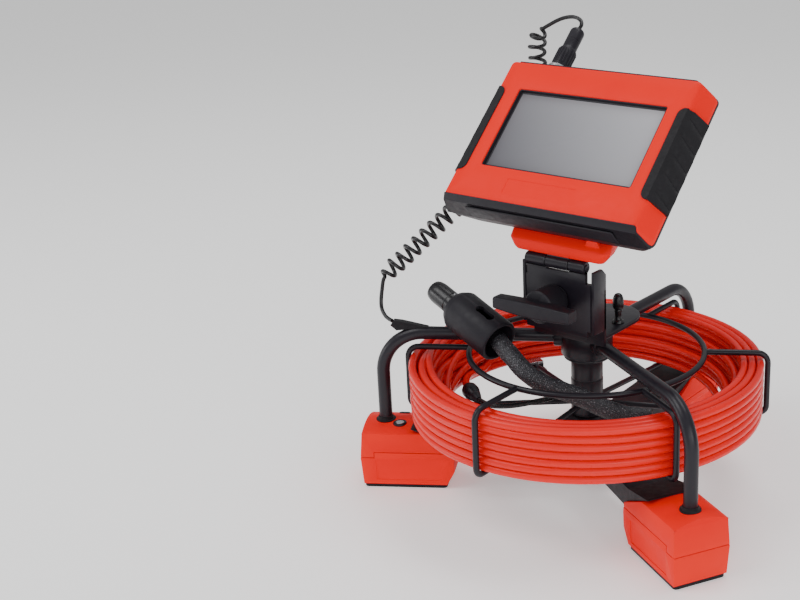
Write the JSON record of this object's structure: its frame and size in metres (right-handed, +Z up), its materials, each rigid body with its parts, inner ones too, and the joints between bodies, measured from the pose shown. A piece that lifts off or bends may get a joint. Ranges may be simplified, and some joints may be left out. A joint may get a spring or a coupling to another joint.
{
  "type": "pipe inspection camera",
  "caption": "Pipe inspection camera: tilting colour monitor on a three-legged stand round a wire reel of red push cable, with a camera head in a guide skid.",
  "frame": {"origin": "middle of the footprint, at floor level below the soles", "axes": "+Z up along the reel axis, the monitor faces -Y and its tilt axis lies along X"},
  "size_m": [0.3186, 0.3092, 0.3449],
  "materials": {
    "black_coat": "satin",
    "black_plastic": "satin",
    "red_plastic": "semi-gloss",
    "black_rubber": "matte",
    "red_cable": "gloss",
    "steel": "brushed",
    "braid": "braided",
    "glass": "gloss",
    "board": "matte"
  },
  "bodies": {
    "stand": {"base_hub": "black_plastic", "hub_cover": "black_plastic", "slip_ring": "black_plastic", "core_post": "steel", "reel_washers": "black_plastic", "upper_column": "black_coat", "collar": "black_coat", "base_arms": "black_plastic", "foot_upper_1": "red_plastic", "foot_upper_2": "red_plastic", "foot_upper_3": "red_plastic", "foot_lower_1": "red_plastic", "foot_lower_2": "red_plastic", "foot_lower_3": "red_plastic", "foot_soles": "black_rubber", "leg_tube_1": "black_coat", "leg_tube_2": "black_coat", "leg_tube_3": "black_coat", "tube_grommets": "black_rubber", "battery_cells": "board", "power_board": "board", "socket_cap": "black_plastic", "top_plate": "black_coat", "parking_peg": "black_rubber", "channel": "black_coat", "carrier_plate": "black_coat", "hinge_pin": "steel", "skid": "black_plastic", "camera_head": "black_plastic", "camera_lens": "glass", "neck_sleeve": "braid", "cable_lead": "red_cable", "cord_top": "black_rubber", "curly_cord": "black_rubber", "cord_tail": "black_rubber", "cord_grommet": "black_plastic"},
    "reel": {"reel_sleeve": "black_coat", "reel_ring": "black_coat", "reel_brackets": "black_coat", "spoke_clamp": "black_plastic", "clamp_saddle": "steel", "cable_coil": "red_cable", "cable_tail": "red_cable", "cable_boot": "black_rubber", "hub_lead": "black_rubber"},
    "monitor": {"hinge_leaf": "black_coat", "monitor_frame": "red_plastic", "monitor_back": "black_plastic", "screen_glass": "glass", "display_panel": "board", "main_board": "board", "grip_left": "black_rubber", "grip_right": "black_rubber", "monitor_strip": "black_plastic", "shoe": "red_plastic", "back_screws": "steel", "plug": "black_plastic"},
    "clamp_knob": {"knob_bar": "black_plastic", "knob_stud": "steel"},
    "power_button": {"power_button": "steel"}
  },
  "joints": [
    {"name": "reel_spin", "type": "hinge", "parent": "stand", "child": "reel", "pos_m": [0, -0.01695, 0.06], "axis": [0, 0, 1], "continuous": true},
    {"name": "monitor_tilt", "type": "hinge", "parent": "stand", "child": "monitor", "pos_m": [0, -0.05195, 0.186], "axis": [1, 0, 0], "range_deg": [-20, 35], "deforming": ["cord_top", "curly_cord", "cord_tail"]},
    {"name": "knob_turn", "type": "hinge", "parent": "stand", "child": "clamp_knob", "pos_m": [0, -0.07695, 0.16], "axis": [0, 1, 0], "range_deg": [-90, 90]},
    {"name": "button_press", "type": "slide", "parent": "stand", "child": "power_button", "axis": [0, 0, -1], "range_m": [0, 0.0015], "stiffness_N_per_m": 400}
  ]
}
